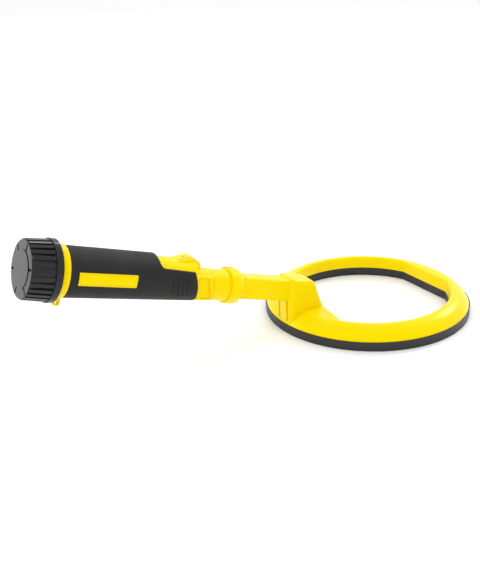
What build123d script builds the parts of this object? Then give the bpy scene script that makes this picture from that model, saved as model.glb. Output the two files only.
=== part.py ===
from build123d import *
import os
from math import cos, radians, sin, sqrt, tan

# Hand-held metal detector with a ring search coil, in millimetres.
# Row frame: the coil's underside is z = 0, +X runs from the battery cap to the coil's far edge, and the
# object is symmetric about the plane y = 0. The origin is under the middle of the overall length.
# Handle frame: x runs forward along the axis of neck and arm, z is up from it, and its origin is in the
# plane of the battery cap's front edge. The grip's own axis lies GRIP_LIFT above that of the neck.

# Overall driving dimensions
COIL_R = 100.0
COIL_X = 122.674
HANDLE_TILT = 16.12
ARM_AXIS_X = -100.0
ARM_AXIS_Z = 43.7
HANDLE_LENGTH = 224.5
GRIP_LIFT = 4.9
FIT_GAP = 0.3
RUN_GAP = 0.1
SHAFT_GAP = 0.05
CUT = 1.0
WIDE = 40.0

# Search coil
RING_IN = 80.5
RING_TOP = 20.5
RING_CREST_R = 83.6
RING_SHOULDER = (94.2, 15.6)
INNER_ROUND = 2.9
SHELL_R = 99.1
BASE_TOP = 8.9
BASE_CHAMFER = 0.8
FAR_CHORD_X = 74.0
WEB_X = -60.0
WEB_HALF = 13.0
WEB_FLARE_X = -65.3
WEB_FLARE_Y = 47.0
COIL_WALL = 2.2
FORMER_IN = 84.0
FORMER_OUT = 95.0
FORMER_TOP = 12.0
WINDING_IN = 87.0
WINDING_OUT = 92.5
WINDING_LOW = 4.0
WINDING_TOP = 8.4

# Block that joins the arm to the ring
BLOCK_REAR = -98.6
BLOCK_HALF = 12.5
BLOCK_TOP = 56.2
BLOCK_FRONT_TOP = -69.5
BLOCK_FRONT_MID = (-65.7, 34.9)
BLOCK_FRONT_FOOT = (-59.5, 19.5)
BLOCK_CORNER = 11.0
BLOCK_EDGE = 5.0
SLOT_Y = 6.5
SLOT_W = 3.0
SLOT_DEPTH = 1.6
SLOT_LOW = 12.0
SLOT_HIGH = 33.0
LEAD_X = -88.0
LEAD_BORE_R = 6.0
LEAD_R = 2.2
LEAD_BEND = 12.0
LEAD_EXIT_R = 3.0

# Arm and its round journal
ARM_HALF_W = 9.0
ARM_HALF_H = 10.3
ARM_EDGE = 3.0
ARM_START = 177.8
ARM_END = 236.0
JOURNAL_R = 11.5
FLANGE_START = 157.3
FLANGE_END = 160.3
FLANGE_R = 12.4

# Lock nut
NUT_REAR = 142.5
NUT_SLEEVE_R = 14.05
NUT_BORE_R = 12.9
BEAD_START = 160.6
BEAD_END = 169.0
BEAD_R = 16.3
NUT_NOSE = [(171.2, 15.6), (173.0, 14.4)]
NUT_FRONT = 174.2
NUT_FRONT_R = 12.9
NUT_HOLE_R = 11.8
NUT_LIP = 161.6
NUT_SOFT = 0.5
WASHER_T = 0.7
INDEX_SIDE = (0.5, 8.5)
INDEX_L = 5.5
INDEX_PROUD = 0.5

# Main housing
BARREL_R = 17.6
BARREL_BORE = 14.4
BARREL_REAR = -22.0
BARREL_PROUD = 1.2
BORE_END = 119.0
NECK_R = 14.45
NECK_BORE = 10.7
NECK_REAR = 112.0
NECK_END = 142.2
SPIGOT_R = 12.6
SPIGOT_END = 157.0
THREAD_DEPTH = 0.7
THREAD_PITCH = 3.0
BOSS_HALF_H = 10.7
BOSS_Y = 13.6
BOSS_BACK = 5.4
BOSS_ROUND = 1.6
BOSS_FRONT_ROUND = 1.2
POCKET_HALF_H = 9.0
POCKET_START = 128.3
POCKET_LENGTH = 10.7
POCKET_DEPTH = 1.0

# Grip sleeve
GRIP_START = 7.1
GRIP_R_REAR = 21.2
GRIP_R_FRONT = 19.4
GRIP_END = 123.2
END_SLANT = 16.5
WINDOW_START = 86.0
WINDOW_FOOT = 87.7
LEDGE_REAR_H = 16.3
LEDGE_FRONT_H = 14.6
WINDOW_ROUND = 5.5
GROOVE_STEP = 4.8
GROOVE_FIRST = 99.0
GROOVE_COUNT = 4
GROOVE_W = 1.05
GROOVE_DEPTH = 0.4
GROOVE_LONG = 16.5
GROOVE_DROP = 2.6
GRIP_FRONT_ROUND = 1.6
GRIP_REAR_ROUND = 1.0
INSET_START = 14.2
INSET_LENGTH = 51.0
INSET_HEIGHT = 10.7
INSET_RIM = 1.0
INSET_H = 5.3
INSET_PROUD = 0.35
INSET_DEPTH = 1.4

# Lanyard collar
COLLAR_START = 0.0
COLLAR_END = 6.8
COLLAR_R = 22.2
COLLAR_ROUND = 0.9
LUG_X = 3.5
LUG_TURN = 19.0
LUG_THICK = 4.0
LUG_HOLE_R = 1.25
LUG_HOLE_REACH = 24.9
LUG_END_R = 2.9

# Battery cap
CAP_FRONT = -0.3
CAP_FLANGE_W = 5.7
CAP_FLANGE_R = 25.9
CAP_R = 25.0
CAP_SHOULDER = (-24.4, 24.2)
RIB_COUNT = 28
RIB_GROOVE_W = 2.4
RIB_GROOVE_R = 23.0
RIB_INSET = 0.5
CAP_REAR = -25.6
CAP_RIM_R = 23.2
CAP_DISC_R = 15.8
CAP_DISC_PROUD = 0.5
CAP_SOFT = 0.6
CAP_NECK_W = 0.6
CAP_NECK_R = 24.0
FACE_GROOVES = 6
FACE_GROOVE_W = 2.0
FACE_GROOVE_DEPTH = 0.9
FACE_GROOVE_LAND = 0.6
CAP_BORE = 17.9
CAP_FLOOR = -23.8
SEAL_X = -2.4
SEAL_ROOT_R = 15.8
SEAL_WIRE_R = 1.0
SEAL_SLACK = 0.02
CONTACT_DISC_R = 16.0
CONTACT_DISC_FRONT = -22.4
SPRING_WIRE = 0.45
SPRING_PITCH = 1.6
SPRING_R = 4.6

# Control hump
COVER_START = 85.2
COVER_SPLIT = 13.5
COVER_END = 123.4
COVER_FOOT = 11.6
COVER_FOOT_X = 122.0
HUMP_HALF = 7.4
RAMP_SLOPE = 15.3
HUMP_PEAK_X = 121.0
HUMP_PEAK_H = 25.1
HUMP_RUN = 20.0
HUMP_NOSE = [(124.0, 23.2), (128.0, 21.3), (130.4, 19.8)]
HUMP_FOOT = (133.6, 13.5)
HUMP_EDGE = 1.2
BOW_X = 121.5
BOW_TIP = 1.2
BOW_ROUND = 4.0
BUTTON_X = (109.6, 116.7)
BUTTON_L = 5.4
BUTTON_W = 9.6
BUTTON_PROUD = 0.6
BUTTON_ROUND = 1.3
BUTTON_EDGE = 0.35
BUTTON_LIP = 0.8
SOFT_CORNER = 0.9
FLANGE_LOW = -3.3
STEM_R = 1.3
STEM_LOW = -5.0
MEMBRANE_LOW = -5.6
MEMBRANE_T = 1.0
SWITCH_FOOT = -8.2
SWITCH_TOP = -6.6
SWITCH_HALF = 2.3
PLUNGER_R = 1.5
PLUNGER_H = 0.7
BUTTON_BOARD_T = 1.2
ROOF = 2.0
BUTTON_POCKET_L = 15.0
BUTTON_POCKET_W = 12.4

# Power and electronics
CELL_R = 9.2
CELL_START = -15.6
CELL_LENGTH = 65.0
NUB_R = 2.8
NUB_L = 1.5
CELL_SLEEVE_AHEAD = 2.4
FRONT_CONTACT_R = 7.0
FRONT_CONTACT_T = 0.8
BOARD_START = 54.5
BOARD_END = 117.5
BOARD_HALF = 11.0
BOARD_H = 8.0
BOARD_T = 1.6
CHIPS = [(70.0, 80.0, 5.0, 1.2), (86.0, 92.0, 3.0, 1.0), (60.0, 64.0, 6.0, 2.6)]
MOTOR_X = 66.0
MOTOR_H = 2.4
MOTOR_R = 4.2
MOTOR_L = 11.0
MOTOR_FOOT = 2.5
SHAFT_R = 0.75
WEIGHT_X = 77.8
WEIGHT_L = 4.2
WEIGHT_R = 3.8
HUB_R = 1.7
SOUNDER_X = 100.0
SOUNDER_R = 8.0
SOUNDER_T = 3.4

# Plug and socket
PLUG_R = 8.0
PLUG_REAR = 144.0
SOCKET_REAR = 138.0
PIN_R = 0.7
PIN_CIRCLE = 4.0
PIN_TAIL = 8.0
PIN_REACH = 6.0
SOCKET_FLOOR_GAP = 1.0
CONTACT_R = 1.2
CONTACT_BORE = 1.0
CONTACT_DEPTH = 8.0
CONTACT_FLOOR = 0.6
KEY_HALF = 1.2
KEY_DEPTH = 0.9
PLUG_GROOVE_X = 151.1
PLUG_GROOVE_W = 2.2
SEAL_FLOOR_R = 7.1
PLUG_SEAL_WIRE = 0.58

HANDLE_X = COIL_X + ARM_AXIS_X - HANDLE_LENGTH * cos(radians(HANDLE_TILT))
HANDLE_Z = ARM_AXIS_Z + HANDLE_LENGTH * sin(radians(HANDLE_TILT))
HANDLE = Location((HANDLE_X, 0, HANDLE_Z), (0, HANDLE_TILT, 0))
COIL = Location((COIL_X, 0, 0))
RAMP = Location((HUMP_PEAK_X, 0, HUMP_PEAK_H), (0, -RAMP_SLOPE, 0))
ON_FOOT = (Align.CENTER, Align.CENTER, Align.MIN)


def rod(radius, start, end, lift=0.0):
    """Round bar along x."""
    return Location((start, 0, lift), (0, 90, 0)) * Cylinder(radius, end - start, align=ON_FOOT)


def tube(outer, inner, start, end, lift=0.0):
    return rod(outer, start, end, lift) - rod(inner, start, end, lift)


def turned(points, lift=0.0):
    """Solid of revolution about the x axis from (x, radius) points."""
    outline = Polyline([(x, 0, r) for x, r in points], close=True)
    return Pos(0, 0, lift) * revolve(make_face(outline), Axis.X, 360)


def slab(points, half_width):
    """Side outline of (x, z) points, given its width about the plane y = 0."""
    outline = Polyline([(x, 0, z) for x, z in points], close=True)
    return extrude(make_face(outline), half_width, dir=(0, 1, 0), both=True)


def brick(x0, x1, y0, y1, z0, z1):
    return Pos((x0 + x1) / 2, (y0 + y1) / 2, (z0 + z1) / 2) * Box(x1 - x0, y1 - y0, z1 - z0)


def edges_along(solid, axis):
    return solid.edges().filter_by(axis)


def slant_x(height, at_grip_axis):
    """x of the slanted front edge line at a height above the neck's axis."""
    return at_grip_axis - tan(radians(END_SLANT)) * (height - GRIP_LIFT)


def front_cutter(at_grip_axis):
    """Everything ahead of the slanted plane through at_grip_axis."""
    low, high = slant_x(-WIDE, at_grip_axis), slant_x(WIDE, at_grip_axis)
    outline = [(low, -WIDE), (low + 2 * WIDE, -WIDE), (high + 2 * WIDE, WIDE), (high, WIDE)]
    return slab(outline, WIDE)


def threaded(radius, start, end, lift=0.0):
    """Male thread as plain turned ridges at the thread's pitch."""
    body = rod(radius, start, end, lift)
    groove_w = THREAD_PITCH / 2
    for index in range(1, int((end - start) / THREAD_PITCH)):
        x = start + index * THREAD_PITCH
        body -= tube(radius + CUT, radius - THREAD_DEPTH, x, x + groove_w, lift)
    return body


def grip_radius(x):
    share = (x - GRIP_START) / (GRIP_END - GRIP_START)
    return GRIP_R_REAR + (GRIP_R_FRONT - GRIP_R_REAR) * share


# Search coil ---------------------------------------------------------------------------------------


def opening_tool():
    """The coil's inner opening as a tall plug: a circle cut by the far chord and by the web."""
    tall = COIL_R
    plug = Cylinder(RING_IN, tall)
    far = brick(FAR_CHORD_X, COIL_R, -COIL_R, COIL_R, -tall, tall)
    web_outline = [
        (-COIL_R, -COIL_R),
        (WEB_FLARE_X, -COIL_R),
        (WEB_FLARE_X, -WEB_FLARE_Y),
        (WEB_X, -WEB_HALF),
        (WEB_X, WEB_HALF),
        (WEB_FLARE_X, WEB_FLARE_Y),
        (WEB_FLARE_X, COIL_R),
        (-COIL_R, COIL_R),
    ]
    web = extrude(make_face(Polyline(web_outline, close=True)), tall, both=True)
    return plug - far - web


def crown():
    """Upper ring: flat inboard of its crest, rounded down to the seam outside it."""
    profile = [
        Line((0, 0, BASE_TOP), (SHELL_R, 0, BASE_TOP)),
        ThreePointArc(
            (SHELL_R, 0, BASE_TOP),
            (RING_SHOULDER[0], 0, RING_SHOULDER[1]),
            (RING_CREST_R, 0, RING_TOP),
        ),
        Line((RING_CREST_R, 0, RING_TOP), (0, 0, RING_TOP)),
        Line((0, 0, RING_TOP), (0, 0, BASE_TOP)),
    ]
    return revolve(make_face(profile), Axis.Z, 360)


def disc(radius, low, high):
    """Upright round plate."""
    return Pos(0, 0, low) * Cylinder(radius, high - low, align=ON_FOOT)


def coil_channel(low, high):
    """Round channel that holds the winding and its former."""
    return disc(FORMER_OUT, low, high) - disc(FORMER_IN, low, high)


def block():
    slope = tan(radians(HANDLE_TILT))
    top_front = BLOCK_TOP - slope * (BLOCK_FRONT_TOP - BLOCK_REAR)
    body = slab(
        [
            (BLOCK_REAR, BASE_TOP),
            (BLOCK_REAR, BLOCK_TOP),
            (BLOCK_FRONT_TOP, top_front),
            BLOCK_FRONT_MID,
            BLOCK_FRONT_FOOT,
            (BLOCK_FRONT_FOOT[0], BASE_TOP),
        ],
        BLOCK_HALF,
    )
    corner = [e for e in edges_along(body, Axis.Y) if abs(e.center().Z - top_front) < 0.1]
    body = fillet(corner, BLOCK_CORNER)
    sides = [e for e in body.edges() if abs(abs(e.center().Y) - BLOCK_HALF) < 0.1]
    upper = [e for e in sides if e.center().Z > BASE_TOP + 0.1]
    rear_top = [e for e in edges_along(body, Axis.Y) if abs(e.center().Z - BLOCK_TOP) < 0.1]
    return fillet(upper + rear_top, BLOCK_EDGE)


def block_slots():
    """Two upright grooves in the block's rear face, under the arm."""
    slot = brick(
        BLOCK_REAR - CUT,
        BLOCK_REAR + SLOT_DEPTH,
        SLOT_Y - SLOT_W / 2,
        SLOT_Y + SLOT_W / 2,
        SLOT_LOW,
        SLOT_HIGH,
    )
    return slot + mirror(slot, Plane.XZ)


def in_coil_frame(shape):
    """Moves a handle-frame shape into the coil's own frame."""
    return COIL.inverse() * HANDLE * shape


def arm():
    section = RectangleRounded(2 * ARM_HALF_H, 2 * ARM_HALF_W, ARM_EDGE)
    beam = extrude(Location((ARM_START, 0, 0), (0, 90, 0)) * section, ARM_END - ARM_START)
    return beam + rod(JOURNAL_R, FLANGE_END, ARM_START + CUT) + rod(FLANGE_R, FLANGE_START, FLANGE_END)


def lead_bores():
    """Passage for the coil's lead: up through the block, then back along the arm."""
    along = rod(LEAD_BORE_R, FLANGE_START - CUT, lead_corner_x())
    corner = Pos(lead_corner_x(), 0, 0) * Sphere(LEAD_BORE_R)
    up = Pos(LEAD_X, 0, 0) * disc(LEAD_BORE_R, BASE_TOP - CUT, lead_corner_z())
    return in_coil_frame(along + corner) + up


def lead_corner_x():
    """Handle-frame x where the arm's axis passes over the lead's riser."""
    return HANDLE_LENGTH + (LEAD_X - ARM_AXIS_X) / cos(radians(HANDLE_TILT))


def lead_corner_z():
    return ARM_AXIS_Z - (LEAD_X - ARM_AXIS_X) * tan(radians(HANDLE_TILT))


def coil_shell():
    ring = crown() - opening_tool()
    inner_top = [
        e
        for e in ring.edges().group_by(Axis.Z)[-1]
        if e.center().Z > RING_TOP - 0.1 and on_opening(e)
    ]
    ring = fillet(inner_top, INNER_ROUND)
    body = ring + (block() - block_slots()) + in_coil_frame(arm())
    body -= coil_channel(BASE_TOP - 1, FORMER_TOP + 0.2)
    body -= lead_bores()
    return COIL * body


def on_opening(edge):
    """True for an edge of the inner opening, which lies inside the crest circle."""
    mid = edge @ 0.5
    return sqrt(mid.X**2 + mid.Y**2) < RING_CREST_R - 1


def coil_base():
    base = disc(COIL_R, 0, BASE_TOP) - opening_tool()
    base = chamfer(base.edges().group_by(Axis.Z)[0], BASE_CHAMFER)
    base -= coil_channel(COIL_WALL, BASE_TOP + CUT)
    return COIL * base


def ring_bar(inner, outer, low, high):
    return disc(outer, low, high) - disc(inner, low, high)


def coil_former():
    bar = ring_bar(FORMER_IN, FORMER_OUT, COIL_WALL, FORMER_TOP)
    bar -= ring_bar(WINDING_IN, WINDING_OUT, WINDING_LOW, FORMER_TOP + CUT)
    exit_hole = Pos(LEAD_X, 0, 0) * disc(LEAD_EXIT_R, WINDING_TOP - 2 * CUT, FORMER_TOP + CUT)
    return COIL * (bar - exit_hole)


def coil_winding():
    return COIL * ring_bar(WINDING_IN, WINDING_OUT, WINDING_LOW, WINDING_TOP)


def coil_cable():
    """The lead rises from the winding and turns back along the arm's axis to the plug."""
    start = Vector(COIL_X + LEAD_X, 0, WINDING_TOP)
    corner = Vector(COIL_X + LEAD_X, 0, lead_corner_z())
    end = (HANDLE * Pos(FLANGE_START, 0, 0)).position
    path = FilletPolyline(start, corner, end, radius=LEAD_BEND)
    return sweep(Plane(origin=start, z_dir=(0, 0, 1)) * Circle(LEAD_R), path=path)


# Plug, socket and lock nut -------------------------------------------------------------------------


def pin_places():
    return PolarLocations(PIN_CIRCLE, 3, start_angle=90)


def pins(radius, start, end):
    """Three round pins about the neck's axis."""
    length = end - start
    turn = Location((start, 0, 0), (0, 90, 0))
    return [turn * place * Cylinder(radius, length, align=ON_FOOT) for place in pin_places()]


def coil_plug():
    plug = rod(PLUG_R, PLUG_REAR, FLANGE_START)
    groove_start = PLUG_GROOVE_X - PLUG_GROOVE_W / 2
    plug -= tube(PLUG_R + CUT, SEAL_FLOOR_R, groove_start, groove_start + PLUG_GROOVE_W)
    plug -= Compound(children=pins(CONTACT_R, PLUG_REAR, PLUG_REAR + CONTACT_DEPTH))
    key_top = KEY_DEPTH - PLUG_R
    key_end = PLUG_REAR + CONTACT_DEPTH
    return HANDLE * (plug - brick(PLUG_REAR - CUT, key_end, -KEY_HALF, KEY_HALF, -PLUG_R - CUT, key_top))


def plug_contacts():
    start = PLUG_REAR + FIT_GAP
    outer = pins(CONTACT_R, start, PLUG_REAR + CONTACT_DEPTH)
    inner = pins(CONTACT_BORE, start, PLUG_REAR + CONTACT_DEPTH - CONTACT_FLOOR)
    return HANDLE * Compound(children=[a - b for a, b in zip(outer, inner)])


def plug_seal():
    ring = Location((PLUG_GROOVE_X, 0, 0), (0, 90, 0)) * Torus(SEAL_FLOOR_R + PLUG_SEAL_WIRE, PLUG_SEAL_WIRE)
    return HANDLE * ring


def coil_socket():
    cup = rod(NECK_BORE, SOCKET_REAR, SPIGOT_END)
    cup -= rod(PLUG_R + FIT_GAP, PLUG_REAR - SOCKET_FLOOR_GAP, SPIGOT_END + CUT)
    cup -= Compound(children=pins(PIN_R, SOCKET_REAR - CUT, PLUG_REAR))
    return HANDLE * cup


def socket_pins():
    return HANDLE * Compound(children=pins(PIN_R, SOCKET_REAR - PIN_TAIL, PLUG_REAR + PIN_REACH))


def lock_nut():
    nut = turned(
        [
            (NUT_REAR, NUT_BORE_R),
            (NUT_REAR, NUT_SLEEVE_R - NUT_SOFT),
            (NUT_REAR + NUT_SOFT, NUT_SLEEVE_R),
            (BEAD_START, NUT_SLEEVE_R),
            (BEAD_START, BEAD_R - NUT_SOFT),
            (BEAD_START + NUT_SOFT, BEAD_R),
            (BEAD_END, BEAD_R),
            *NUT_NOSE,
            (NUT_FRONT, NUT_FRONT_R),
            (NUT_FRONT, NUT_HOLE_R),
            (NUT_LIP, NUT_HOLE_R),
            (NUT_LIP, NUT_BORE_R),
        ]
    )
    index_end = BEAD_START + INDEX_L
    index = tube(BEAD_R + INDEX_PROUD, NUT_SLEEVE_R, BEAD_START, index_end)
    return HANDLE * (nut + (index & brick(BEAD_START, index_end, *INDEX_SIDE, 0, WIDE)))


def slip_washer():
    start = FLANGE_END + FIT_GAP
    return HANDLE * tube(NUT_BORE_R - FIT_GAP, NUT_HOLE_R, start, start + WASHER_T)


# Housing -------------------------------------------------------------------------------------------


def hump_outline():
    """Side outline of the hump: a ramp up to its peak, then a long nose down to the neck."""
    ramp_foot = HUMP_PEAK_X - HUMP_RUN
    ramp_rise = HUMP_RUN * tan(radians(RAMP_SLOPE))
    return [
        (ramp_foot, COVER_FOOT),
        (ramp_foot, HUMP_PEAK_H - ramp_rise),
        (HUMP_PEAK_X, HUMP_PEAK_H),
        *HUMP_NOSE,
        HUMP_FOOT,
        (HUMP_FOOT[0], COVER_FOOT),
    ]


def hump():
    """The hump's ramp and nose, pointed like a bow when seen from above."""
    body = slab(hump_outline(), HUMP_HALF)
    peak = [e for e in edges_along(body, Axis.Y) if abs(e.center().X - HUMP_PEAK_X) < 0.1]
    body = fillet(peak, HUMP_EDGE)
    start, tip = HUMP_PEAK_X - 2 * HUMP_RUN, HUMP_FOOT[0]
    half = [(start, HUMP_HALF), (BOW_X, HUMP_HALF), (tip, BOW_TIP)]
    plan = Polyline(half + [(x, -y) for x, y in reversed(half)], close=True)
    bow = extrude(make_face(plan), WIDE)
    shoulders = [e for e in edges_along(bow, Axis.Z) if abs(e.center().X - BOW_X) < 0.1]
    return body & fillet(shoulders, BOW_ROUND)


def neck_boss():
    """Flat-sided thickening of the neck that carries the side pads."""
    boss = brick(COVER_END - BOSS_BACK, NECK_END, -BOSS_Y, BOSS_Y, -BOSS_HALF_H, BOSS_HALF_H)
    boss = fillet(edges_along(boss, Axis.X), BOSS_ROUND)
    return fillet(boss.faces().sort_by(Axis.X)[-1].edges(), BOSS_FRONT_ROUND)


def neck_pockets():
    shift = tan(radians(END_SLANT)) * POCKET_HALF_H
    rear, front = POCKET_START, POCKET_START + POCKET_LENGTH
    outline = [
        (rear + shift, -POCKET_HALF_H),
        (front + shift, -POCKET_HALF_H),
        (front - shift, POCKET_HALF_H),
        (rear - shift, POCKET_HALF_H),
    ]
    return slab(outline, BOSS_Y + CUT) - slab(outline, BOSS_Y - POCKET_DEPTH)


def cover_region(rear):
    """Space of the control cover: the top of the barrel, and the hump's nose down to the neck."""
    front = HUMP_FOOT[0] + CUT
    saddle = brick(rear, front, -WIDE, WIDE, COVER_SPLIT, WIDE)
    nose = brick(COVER_FOOT_X, front, -HUMP_HALF, HUMP_HALF, COVER_FOOT, WIDE)
    return saddle + nose - rod(NECK_R, BORE_END, front + CUT)


def main_housing():
    body = rod(BARREL_R, CAP_FRONT, HUMP_FOOT[0], GRIP_LIFT) - front_cutter(GRIP_END + BARREL_PROUD)
    body += threaded(BARREL_R, BARREL_REAR, CAP_FRONT, GRIP_LIFT)
    clear_of_sleeve = front_cutter(GRIP_END + FIT_GAP) + rod(BARREL_R, NECK_REAR, NECK_END, GRIP_LIFT)
    neck = (rod(NECK_R, NECK_REAR, NECK_END) + neck_boss()) & clear_of_sleeve
    body += neck - neck_pockets()
    body += threaded(SPIGOT_R, NECK_END, SPIGOT_END)
    body -= rod(BARREL_BORE, BARREL_REAR - CUT, BORE_END, GRIP_LIFT)
    body -= rod(NECK_BORE, NECK_REAR - CUT, SPIGOT_END + CUT)
    body -= cap_seal_groove()
    return HANDLE * (body - cover_region(COVER_START))


def cap_seal_groove():
    half = SEAL_WIRE_R + RUN_GAP
    return tube(BARREL_R + CUT, SEAL_ROOT_R, SEAL_X - half, SEAL_X + half, GRIP_LIFT)


def cap_seal():
    ring_r = SEAL_ROOT_R + SEAL_WIRE_R + SEAL_SLACK
    ring = Location((SEAL_X, 0, GRIP_LIFT), (0, 90, 0)) * Torus(ring_r, SEAL_WIRE_R)
    return HANDLE * ring


def button_frame(x):
    """Frame on the ramp's surface at a handle-frame x, with z along the ramp's normal."""
    along = (x - HUMP_PEAK_X) / cos(radians(RAMP_SLOPE))
    return RAMP * Pos(along, 0, 0)


def rounded_prism(length, width, low, high, round_r):
    face = RectangleRounded(length, width, round_r)
    return extrude(Pos(0, 0, low) * face, high - low)


def pocket_frame():
    return button_frame(sum(BUTTON_X) / 2)


def control_cover():
    cover = (rod(BARREL_R, COVER_START, COVER_END, GRIP_LIFT) + hump()) & cover_region(COVER_START + RUN_GAP)
    cover -= rod(BARREL_BORE, COVER_START - CUT, BORE_END, GRIP_LIFT)
    cover -= pocket_frame() * rounded_prism(BUTTON_POCKET_L, BUTTON_POCKET_W, -HUMP_RUN, -ROOF, SOFT_CORNER)
    for x in BUTTON_X:
        length, width = BUTTON_L + 2 * FIT_GAP, BUTTON_W + 2 * FIT_GAP
        cover -= button_frame(x) * rounded_prism(length, width, -ROOF - CUT, ROOF, BUTTON_ROUND + FIT_GAP)
    return HANDLE * cover


def button(x):
    cap = rounded_prism(BUTTON_L, BUTTON_W, FLANGE_LOW, BUTTON_PROUD, BUTTON_ROUND)
    cap = fillet(cap.faces().sort_by(Axis.Z)[-1].edges(), BUTTON_EDGE)
    length, width = BUTTON_L + BUTTON_LIP, BUTTON_W + 2 * BUTTON_LIP
    flange = rounded_prism(length, width, FLANGE_LOW, -ROOF - FIT_GAP, SOFT_CORNER)
    stem = disc(STEM_R, STEM_LOW, FLANGE_LOW)
    return HANDLE * button_frame(x) * (cap + flange + stem)


def button_membrane():
    top = MEMBRANE_LOW + MEMBRANE_T
    sheet = rounded_prism(BUTTON_POCKET_L, BUTTON_POCKET_W, MEMBRANE_LOW, top, SOFT_CORNER)
    for x in BUTTON_X:
        hole = disc(STEM_R + FIT_GAP, MEMBRANE_LOW - CUT, top + CUT)
        sheet -= pocket_frame().inverse() * button_frame(x) * hole
    return HANDLE * pocket_frame() * sheet


def button_board():
    length, width = BUTTON_POCKET_L - 2 * BUTTON_LIP, BUTTON_POCKET_W - 2 * BUTTON_LIP
    low = SWITCH_FOOT - BUTTON_BOARD_T
    return HANDLE * pocket_frame() * rounded_prism(length, width, low, SWITCH_FOOT, SOFT_CORNER)


def button_switches():
    half = SWITCH_HALF
    switches = []
    for x in BUTTON_X:
        body = brick(-half, half, -half, half, SWITCH_FOOT, SWITCH_TOP)
        body += disc(PLUNGER_R, SWITCH_TOP, SWITCH_TOP + PLUNGER_H)
        switches.append(HANDLE * button_frame(x) * body)
    return Compound(children=switches)


# Grip, insets and collar ---------------------------------------------------------------------------


def grip_cone(offset):
    """Tapered grip body, offset outward from its surface."""
    end = GRIP_END + GRIP_R_FRONT
    outline = [
        (GRIP_START, 0),
        (GRIP_START, grip_radius(GRIP_START) + offset),
        (end, grip_radius(end) + offset),
        (end, 0),
    ]
    return turned(outline, GRIP_LIFT)


def window_cutter():
    """Opening of the sleeve over the controls: a sloped rear side that turns into the ledge."""
    ahead = GRIP_END + HUMP_RUN
    lean = (WINDOW_FOOT - WINDOW_START) / (GRIP_LIFT + grip_radius(WINDOW_START) - LEDGE_REAR_H)
    drop = (LEDGE_REAR_H - LEDGE_FRONT_H) / (GRIP_END - WINDOW_FOOT)
    body = slab(
        [
            (WINDOW_FOOT - lean * (WIDE - LEDGE_REAR_H), WIDE),
            (WINDOW_FOOT, LEDGE_REAR_H),
            (ahead, LEDGE_REAR_H - drop * (ahead - WINDOW_FOOT)),
            (ahead, WIDE),
        ],
        WIDE,
    )
    corner = [e for e in edges_along(body, Axis.Y) if abs(e.center().X - WINDOW_FOOT) < 0.1]
    return fillet(corner, WINDOW_ROUND)


def grip_grooves():
    shell = grip_cone(CUT) - grip_cone(-GROOVE_DEPTH)
    spots = [GROOVE_FIRST + index * GROOVE_STEP for index in range(GROOVE_COUNT)]
    middle = GRIP_LIFT - GROOVE_DROP
    return [
        shell & Location((x, 0, middle), (0, -END_SLANT, 0)) * Box(GROOVE_W, 2 * WIDE, GROOVE_LONG)
        for x in spots
    ]


def inset_block(side, trim):
    """Space of one side inset, reaching from inside the sleeve to outside it."""
    start, end = INSET_START + trim, INSET_START + INSET_LENGTH - trim
    half = INSET_HEIGHT / 2 - trim
    near, far = sorted((side * BARREL_R / 2, side * WIDE))
    return brick(start, end, near, far, INSET_H - half, INSET_H + half)


def grip_sleeve():
    sleeve = grip_cone(0) - front_cutter(GRIP_END)
    rims = [e for e in sleeve.edges() if e.geom_type in (GeomType.CIRCLE, GeomType.ELLIPSE)]
    rear = [e for e in rims if e.geom_type == GeomType.CIRCLE]
    front = [e for e in rims if e.geom_type == GeomType.ELLIPSE]
    sleeve = fillet(rear, GRIP_REAR_ROUND)
    sleeve = fillet(front, GRIP_FRONT_ROUND)
    sleeve -= rod(BARREL_R, GRIP_START - CUT, GRIP_END + HUMP_RUN, GRIP_LIFT)
    sleeve -= window_cutter()
    for groove in grip_grooves():
        sleeve -= groove
    for side in (-1, 1):
        sleeve -= inset_block(side, 0) - grip_cone(-INSET_DEPTH)
    return HANDLE * sleeve


def inset(side):
    plate = (inset_block(side, 0) & grip_cone(INSET_PROUD)) - grip_cone(-INSET_DEPTH)
    plate -= inset_block(side, INSET_RIM) - grip_cone(0)
    return HANDLE * plate


def lanyard_collar():
    ring = rod(COLLAR_R, COLLAR_START, COLLAR_END, GRIP_LIFT)
    rims = [e for e in ring.edges() if e.geom_type == GeomType.CIRCLE]
    ring = fillet(rims, COLLAR_ROUND) + lug()
    return HANDLE * (ring - rod(BARREL_R, COLLAR_START - CUT, COLLAR_END + CUT, GRIP_LIFT))


def lug():
    """Small ear for a lanyard, turned a little out of the collar's underside."""
    across = Location((LUG_X, 0, -LUG_HOLE_REACH), (90, 0, 0))
    half = LUG_THICK / 2
    ear = across * Cylinder(LUG_END_R, LUG_THICK)
    ear += brick(LUG_X - LUG_END_R, LUG_X + LUG_END_R, -half, half, -LUG_HOLE_REACH, -BARREL_R)
    ear -= across * Cylinder(LUG_HOLE_R, LUG_THICK + 2 * CUT)
    return Location((0, 0, GRIP_LIFT), (-LUG_TURN, 0, 0)) * ear


# Battery cap and its contact -----------------------------------------------------------------------


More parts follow.
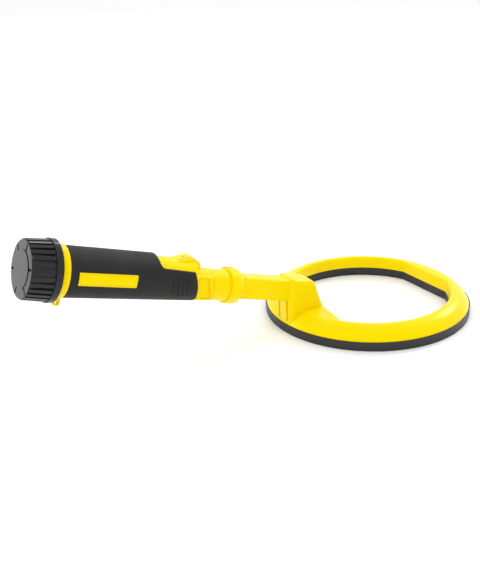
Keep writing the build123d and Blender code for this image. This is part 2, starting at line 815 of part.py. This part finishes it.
def battery_cap():
    flange_rear = CAP_FRONT - CAP_FLANGE_W
    rib_end = flange_rear - CAP_NECK_W
    cap = turned(
        [
            (CAP_REAR, 0),
            (CAP_REAR, CAP_RIM_R),
            CAP_SHOULDER,
            (rib_end, CAP_R),
            (rib_end, CAP_NECK_R),
            (flange_rear, CAP_NECK_R),
            (flange_rear, CAP_FLANGE_R - CAP_SOFT),
            (flange_rear + CAP_SOFT, CAP_FLANGE_R),
            (CAP_FRONT - CAP_SOFT, CAP_FLANGE_R),
            (CAP_FRONT, CAP_FLANGE_R - CAP_SOFT),
            (CAP_FRONT, CAP_BORE),
            (CAP_FLOOR, CAP_BORE),
            (CAP_FLOOR, 0),
        ],
        GRIP_LIFT,
    )
    for groove in rib_grooves(rib_end):
        cap -= groove
    for groove in face_grooves():
        cap -= groove
    return HANDLE * (cap + rod(CAP_DISC_R, CAP_REAR - CAP_DISC_PROUD, CAP_REAR + CUT, GRIP_LIFT))


def rib_grooves(rib_end):
    start = CAP_REAR + RIB_INSET
    tool = Box(rib_end - start, RIB_GROOVE_W, CAP_R, align=(Align.MIN, Align.CENTER, Align.MIN))
    step = 360 / RIB_COUNT
    turns = [step * (index + 0.5) for index in range(RIB_COUNT)]
    return [Location((start, 0, GRIP_LIFT), (turn, 0, 0)) * Pos(0, 0, RIB_GROOVE_R) * tool for turn in turns]


def face_grooves():
    reach = CAP_RIM_R - CAP_DISC_R - FACE_GROOVE_LAND
    tool = Box(2 * FACE_GROOVE_DEPTH, FACE_GROOVE_W, reach, align=(Align.CENTER, Align.CENTER, Align.MIN))
    step = 360 / FACE_GROOVES
    turns = [step * (index + 0.25) for index in range(FACE_GROOVES)]
    return [Location((CAP_REAR, 0, GRIP_LIFT), (turn, 0, 0)) * Pos(0, 0, CAP_DISC_R) * tool for turn in turns]


def contact_disc():
    return HANDLE * rod(CONTACT_DISC_R, CAP_FLOOR + FIT_GAP, CONTACT_DISC_FRONT, GRIP_LIFT)


def contact_spring():
    """Coil spring between the contact disc and the cell's base."""
    start, end = CONTACT_DISC_FRONT + SPRING_WIRE, CELL_START - SPRING_WIRE
    coil = Helix(pitch=SPRING_PITCH, height=end - start, radius=SPRING_R)
    section = Plane(origin=coil @ 0, z_dir=coil % 0) * Circle(SPRING_WIRE)
    spring = sweep(section, path=coil)
    return HANDLE * Location((start, 0, GRIP_LIFT), (0, 90, 0)) * spring


# Power and electronics -----------------------------------------------------------------------------


def battery_cell():
    cell = rod(CELL_R, CELL_START, CELL_START + CELL_LENGTH - NUB_L, GRIP_LIFT)
    return HANDLE * (cell + rod(NUB_R, CELL_START, CELL_START + CELL_LENGTH, GRIP_LIFT))


def battery_sleeve():
    start = CELL_START - FIT_GAP
    end = CELL_START + CELL_LENGTH + CELL_SLEEVE_AHEAD
    return HANDLE * tube(BARREL_BORE, CELL_R + 2 * RUN_GAP, start, end, GRIP_LIFT)


def front_contact():
    start = CELL_START + CELL_LENGTH
    return HANDLE * rod(FRONT_CONTACT_R, start, start + FRONT_CONTACT_T, GRIP_LIFT)


def main_board():
    return HANDLE * brick(BOARD_START, BOARD_END, -BOARD_HALF, BOARD_HALF, BOARD_H, BOARD_H + BOARD_T)


def board_chips():
    top = BOARD_H + BOARD_T
    parts = [brick(start, end, -half, half, top, top + height) for start, end, half, height in CHIPS]
    return HANDLE * Compound(children=parts)


def vibration_motor():
    shaft_start = MOTOR_X + MOTOR_L
    can = rod(MOTOR_R, MOTOR_X, shaft_start, MOTOR_H)
    shaft = rod(SHAFT_R, shaft_start, WEIGHT_X + WEIGHT_L + FIT_GAP, MOTOR_H)
    foot = brick(MOTOR_X + CUT, shaft_start - CUT, -MOTOR_FOOT, MOTOR_FOOT, MOTOR_H, BOARD_H)
    return HANDLE * (can + shaft + foot)


def motor_weight():
    end = WEIGHT_X + WEIGHT_L
    lower_half = brick(WEIGHT_X, end, -WEIGHT_R, WEIGHT_R, MOTOR_H - WEIGHT_R, MOTOR_H)
    lump = rod(WEIGHT_R, WEIGHT_X, end, MOTOR_H) & lower_half
    hub = rod(HUB_R, WEIGHT_X, end, MOTOR_H)
    return HANDLE * (lump + hub - rod(SHAFT_R + SHAFT_GAP, WEIGHT_X - CUT, end + CUT, MOTOR_H))


def sounder():
    return HANDLE * Pos(SOUNDER_X, 0, 0) * disc(SOUNDER_R, BOARD_H - SOUNDER_T, BOARD_H)


NODES = {
    "coil_shell": coil_shell,
    "coil_base": coil_base,
    "coil_former": coil_former,
    "coil_winding": coil_winding,
    "coil_cable": coil_cable,
    "coil_plug": coil_plug,
    "plug_contacts": plug_contacts,
    "plug_seal": plug_seal,
    "coil_socket": coil_socket,
    "socket_pins": socket_pins,
    "lock_nut": lock_nut,
    "slip_washer": slip_washer,
    "main_housing": main_housing,
    "control_cover": control_cover,
    "power_button": lambda: button(BUTTON_X[1]),
    "mode_button": lambda: button(BUTTON_X[0]),
    "button_membrane": button_membrane,
    "button_board": button_board,
    "button_switches": button_switches,
    "grip_sleeve": grip_sleeve,
    "left_inset": lambda: inset(1),
    "right_inset": lambda: inset(-1),
    "lanyard_collar": lanyard_collar,
    "battery_cap": battery_cap,
    "cap_seal": cap_seal,
    "contact_disc": contact_disc,
    "contact_spring": contact_spring,
    "battery_cell": battery_cell,
    "battery_sleeve": battery_sleeve,
    "front_contact": front_contact,
    "main_board": main_board,
    "board_chips": board_chips,
    "vibration_motor": vibration_motor,
    "motor_weight": motor_weight,
    "sounder": sounder,
}

os.makedirs("parts", exist_ok=True)
low_x, high_x = [], []
for name, make in NODES.items():
    shape = make()
    box = shape.bounding_box()
    low_x.append(box.min.X)
    high_x.append(box.max.X)
    export_step(shape, f"parts/{name}.step")
print("middle of the length, mm:", round((min(low_x) + max(high_x)) / 2, 3))
print("length, mm:", round(max(high_x) - min(low_x), 2))
print("handle origin, mm:", round(HANDLE_X, 3), round(HANDLE_Z, 3))
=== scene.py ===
import math

import bpy
from mathutils import Matrix, Vector


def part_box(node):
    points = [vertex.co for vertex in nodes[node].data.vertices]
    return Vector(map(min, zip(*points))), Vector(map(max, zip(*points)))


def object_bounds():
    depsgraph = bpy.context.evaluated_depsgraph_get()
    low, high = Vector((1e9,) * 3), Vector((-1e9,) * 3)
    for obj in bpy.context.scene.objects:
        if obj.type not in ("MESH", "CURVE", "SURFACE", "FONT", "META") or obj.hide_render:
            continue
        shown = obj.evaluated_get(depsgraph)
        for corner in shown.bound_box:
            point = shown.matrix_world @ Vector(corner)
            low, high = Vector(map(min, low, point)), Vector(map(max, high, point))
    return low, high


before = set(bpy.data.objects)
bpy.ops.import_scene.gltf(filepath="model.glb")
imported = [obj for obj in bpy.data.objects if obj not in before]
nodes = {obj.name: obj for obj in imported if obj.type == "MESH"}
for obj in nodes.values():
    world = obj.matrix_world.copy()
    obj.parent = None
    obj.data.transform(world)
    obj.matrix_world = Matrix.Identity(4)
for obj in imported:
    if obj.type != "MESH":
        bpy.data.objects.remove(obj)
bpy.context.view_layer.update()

# Camera: where it stands, seen from the coil's centre, and which way it looks (degrees, metres)
CAMERA_AZIMUTH = -38.70
CAMERA_ELEVATION = 24.28
CAMERA_DISTANCE = 0.9008
LOOK_AZIMUTH = -29.93
LOOK_ELEVATION = 22.94
LOOK_ROLL = -1.84
LENS_MM = 56.45
SENSOR_MM = 36.0

# Colours, linear. Each set of tones is the body, its rubbed edges and its flow marks
YELLOW = (0.90, 0.70, 0.001)
YELLOW_PALE = (0.97, 0.84, 0.04)
YELLOW_DEEP = (0.88, 0.66, 0.001)
YELLOW_GLOSS = (1.0, 0.80, 0.04)
BLACK = (0.006, 0.006, 0.007)
BLACK_PALE = (0.014, 0.014, 0.015)
GREY = (0.06, 0.06, 0.06)
GREY_TONES = ((0.20, 0.20, 0.21), (0.4, 0.4, 0.4), (0.15, 0.15, 0.16))
BOARD_TONES = ((0.02, 0.13, 0.05), (0.10, 0.25, 0.10), (0.01, 0.09, 0.03))
WRAP_TONES = ((0.03, 0.10, 0.30), (0.2, 0.3, 0.5), (0.02, 0.07, 0.22))
PAPER = (0.965, 0.965, 0.965)
PAPER_PALE = (0.98, 0.98, 0.98)
WHITE = (1.0, 1.0, 1.0)

# Noise scales, per metre, and the widths of softened edges
FINE_GRAIN = 2600.0
SOFT_GRAIN = 900.0
FLOW_GRAIN = 18.0
RUB_GRAIN = 140.0
SHEEN_GRAIN = 60.0
DRAWN_GRAIN = 300.0
PAPER_GRAIN = 3.0
EDGE_MM = 0.35
METAL_EDGE_MM = 0.15

FLOOR_HALF = 12.0
WORLD_STRENGTH = 0.98


def direction(azimuth, elevation):
    """Unit vector towards a viewpoint: azimuth 0 is at -Y, elevation above the horizon."""
    a, e = math.radians(azimuth), math.radians(elevation)
    return Vector((math.sin(a) * math.cos(e), -math.cos(a) * math.cos(e), math.sin(e)))


def make_camera():
    low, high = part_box("coil_base")
    centre = (Vector(low) + Vector(high)) / 2
    centre.z = 0.0
    back = direction(LOOK_AZIMUTH, LOOK_ELEVATION)
    right = Vector((0, 0, 1)).cross(back).normalized()
    up = back.cross(right)
    turn = Matrix((right, up, back)).transposed() @ Matrix.Rotation(math.radians(LOOK_ROLL), 3, "Z")
    data = bpy.data.cameras.new("camera")
    data.lens = LENS_MM
    data.sensor_width = SENSOR_MM
    data.clip_start = 0.05
    data.clip_end = 100.0
    camera = bpy.data.objects.new("camera", data)
    place = centre + CAMERA_DISTANCE * direction(CAMERA_AZIMUTH, CAMERA_ELEVATION)
    camera.matrix_world = Matrix.Translation(place) @ turn.to_4x4()
    bpy.context.collection.objects.link(camera)
    bpy.context.scene.camera = camera


# Materials ---------------------------------------------------------------------------------------


class Nodes:
    """Small helper that adds and links shader nodes of one material."""

    def __init__(self, name):
        self.material = bpy.data.materials.new(name)
        self.material.use_nodes = True
        self.tree = self.material.node_tree
        self.shader = self.tree.nodes["Principled BSDF"]
        self.point = self.tree.nodes.new("ShaderNodeTexCoord").outputs["Object"]

    def link(self, output, target):
        self.tree.links.new(output, target)

    def noise(self, scale, detail=2.0, roughness=0.5, stretch=None):
        node = self.tree.nodes.new("ShaderNodeTexNoise")
        node.inputs["Scale"].default_value = scale
        node.inputs["Detail"].default_value = detail
        node.inputs["Roughness"].default_value = roughness
        vector = self.point
        if stretch:
            mapping = self.tree.nodes.new("ShaderNodeMapping")
            mapping.inputs["Scale"].default_value = stretch
            self.link(vector, mapping.inputs["Vector"])
            vector = mapping.outputs["Vector"]
        self.link(vector, node.inputs["Vector"])
        return node.outputs["Fac"]

    def spread(self, value, low, high, to_low=0.0, to_high=1.0):
        node = self.tree.nodes.new("ShaderNodeMapRange")
        for socket, number in zip(("From Min", "From Max", "To Min", "To Max"), (low, high, to_low, to_high)):
            node.inputs[socket].default_value = number
        self.link(value, node.inputs["Value"])
        return node.outputs["Result"]

    def blend(self, share, first, second):
        node = self.tree.nodes.new("ShaderNodeMix")
        node.data_type = "RGBA"
        self.link(share, node.inputs[0])
        for socket, colour in ((node.inputs[6], first), (node.inputs[7], second)):
            if isinstance(colour, tuple):
                socket.default_value = (*colour, 1.0)
            else:
                self.link(colour, socket)
        return node.outputs[2]

    def math(self, operation, first, second):
        node = self.tree.nodes.new("ShaderNodeMath")
        node.operation = operation
        for socket, value in zip(node.inputs, (first, second)):
            if isinstance(value, (int, float)):
                socket.default_value = value
            else:
                self.link(value, socket)
        return node.outputs[0]

    def edges(self, radius_mm):
        """1 on a convex or concave edge, 0 on flat ground, and the softened normal."""
        bevel = self.tree.nodes.new("ShaderNodeBevel")
        bevel.samples = 4
        bevel.inputs["Radius"].default_value = radius_mm / 1000
        geometry = self.tree.nodes.new("ShaderNodeNewGeometry")
        dot = self.tree.nodes.new("ShaderNodeVectorMath")
        dot.operation = "DOT_PRODUCT"
        self.link(bevel.outputs["Normal"], dot.inputs[0])
        self.link(geometry.outputs["Normal"], dot.inputs[1])
        return self.spread(dot.outputs["Value"], 1.0, 0.8), bevel.outputs["Normal"]

    def bump(self, height, depth_mm, normal):
        node = self.tree.nodes.new("ShaderNodeBump")
        node.inputs["Distance"].default_value = depth_mm / 1000
        node.inputs["Strength"].default_value = 1.0
        self.link(height, node.inputs["Height"])
        self.link(normal, node.inputs["Normal"])
        return node.outputs["Normal"]


def moulded(name, base, pale, deep, roughness, grain, grain_mm, specular=0.5, tint=WHITE):
    """Moulded plastic or rubber: slight flow marks, fine grain, paler rubbed edges."""
    n = Nodes(name)
    flow = n.spread(n.noise(FLOW_GRAIN, 3.0), 0.35, 0.65)
    specks = n.noise(grain, 2.0, 0.6)
    edge, soft_normal = n.edges(EDGE_MM)
    rub = n.math("MULTIPLY", edge, n.spread(n.noise(RUB_GRAIN, 3.0), 0.35, 0.7))
    body = n.blend(flow, base, deep)
    n.link(n.blend(rub, body, pale), n.shader.inputs["Base Color"])
    rough = n.spread(n.noise(SHEEN_GRAIN, 4.0, 0.6), 0.3, 0.7, roughness - 0.04, roughness + 0.06)
    n.link(n.math("ADD", rough, n.math("MULTIPLY", rub, 0.08)), n.shader.inputs["Roughness"])
    n.link(n.bump(specks, grain_mm, soft_normal), n.shader.inputs["Normal"])
    n.shader.inputs["Specular IOR Level"].default_value = specular
    n.shader.inputs["Specular Tint"].default_value = (*tint, 1.0)
    return n.material


def metal(name, colour, roughness):
    n = Nodes(name)
    n.shader.inputs["Metallic"].default_value = 1.0
    drawn = n.noise(DRAWN_GRAIN, 3.0, 0.5, (1.0, 14.0, 14.0))
    _, soft_normal = n.edges(METAL_EDGE_MM)
    shade = n.blend(n.spread(drawn, 0.3, 0.7), colour, tuple(0.82 * c for c in colour))
    n.link(shade, n.shader.inputs["Base Color"])
    n.link(n.spread(drawn, 0.2, 0.8, roughness - 0.05, roughness + 0.08), n.shader.inputs["Roughness"])
    n.link(n.bump(drawn, 0.01, soft_normal), n.shader.inputs["Normal"])
    return n.material


def paint(names, material):
    for name in names:
        data = nodes[name].data
        data.materials.clear()
        data.materials.append(material)


def dress():
    yellow = moulded(
        "yellow_moulded", YELLOW, YELLOW_PALE, YELLOW_DEEP, 0.26, FINE_GRAIN, 0.004, 0.35, YELLOW_GLOSS
    )
    black = moulded("black_moulded", BLACK, GREY, BLACK_PALE, 0.42, FINE_GRAIN, 0.012)
    cap = moulded("black_gloss", BLACK, GREY, BLACK, 0.16, FINE_GRAIN, 0.004, 0.38)
    rubber = moulded("black_rubber", BLACK_PALE, GREY, BLACK, 0.58, SOFT_GRAIN, 0.03, 0.3)
    grey = moulded("grey_moulded", *GREY_TONES, 0.5, FINE_GRAIN, 0.01)
    board = moulded("green_resist", *BOARD_TONES, 0.35, SOFT_GRAIN, 0.01)
    wrap = moulded("cell_wrap", *WRAP_TONES, 0.25, SOFT_GRAIN, 0.004)
    gold = metal("gold_contact", (0.90, 0.62, 0.22), 0.25)
    steel = metal("bright_steel", (0.62, 0.62, 0.63), 0.28)
    copper = metal("copper_wire", (0.80, 0.38, 0.18), 0.35)
    paint(["coil_shell", "main_housing", "control_cover", "lanyard_collar", "lock_nut"], yellow)
    paint(["left_inset", "right_inset", "power_button", "mode_button"], yellow)
    paint(["coil_base", "coil_plug", "coil_socket", "sounder", "board_chips"], black)
    paint(["battery_cap"], cap)
    paint(["grip_sleeve", "cap_seal", "plug_seal", "coil_cable", "button_membrane"], rubber)
    paint(["coil_former", "battery_sleeve", "slip_washer"], grey)
    paint(["main_board", "button_board"], board)
    paint(["battery_cell"], wrap)
    paint(["plug_contacts", "socket_pins", "contact_disc", "front_contact"], gold)
    paint(["button_switches", "vibration_motor", "motor_weight", "contact_spring"], steel)
    paint(["coil_winding"], copper)


# Floor and light ---------------------------------------------------------------------------------


def make_floor():
    mesh = bpy.data.meshes.new("floor")
    corners = [(x * FLOOR_HALF, y * FLOOR_HALF, 0) for x, y in ((-1, -1), (1, -1), (1, 1), (-1, 1))]
    mesh.from_pydata(corners, [], [(0, 1, 2, 3)])
    floor = bpy.data.objects.new("floor", mesh)
    floor.location.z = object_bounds()[0].z
    bpy.context.collection.objects.link(floor)
    n = Nodes("floor_paper")
    n.link(n.blend(n.noise(PAPER_GRAIN), PAPER, PAPER_PALE), n.shader.inputs["Base Color"])
    n.shader.inputs["Roughness"].default_value = 0.9
    n.shader.inputs["Specular IOR Level"].default_value = 0.1
    mesh.materials.append(n.material)


def softbox(name, azimuth, elevation, distance, size, power):
    """Rectangular light that faces the origin: degrees, metres, watts."""
    data = bpy.data.lights.new(name, "AREA")
    data.shape = "RECTANGLE"
    data.size, data.size_y = size
    data.energy = power
    light = bpy.data.objects.new(name, data)
    away = direction(azimuth, elevation)
    light.location = away * distance
    light.rotation_mode = "QUATERNION"
    light.rotation_quaternion = away.to_track_quat("Z", "Y")
    bpy.context.collection.objects.link(light)


def make_light():
    world = bpy.data.worlds.new("studio")
    world.use_nodes = True
    background = world.node_tree.nodes["Background"]
    background.inputs["Color"].default_value = (*WHITE, 1.0)
    background.inputs["Strength"].default_value = WORLD_STRENGTH
    bpy.context.scene.world = world
    softbox("key", -60.0, 62.0, 2.4, (1.4, 1.0), 8.0)
    softbox("back", 150.0, 40.0, 2.4, (2.0, 0.3), 7.0)
    softbox("cap_side", -127.0, 20.0, 2.0, (0.5, 0.6), 5.0)
    softbox("rib_glint", 100.0, 34.0, 2.0, (0.5, 0.2), 9.0)
    view = bpy.context.scene.view_settings
    view.view_transform = "Standard"
    view.look = "None"


make_camera()
dress()
make_floor()
make_light()
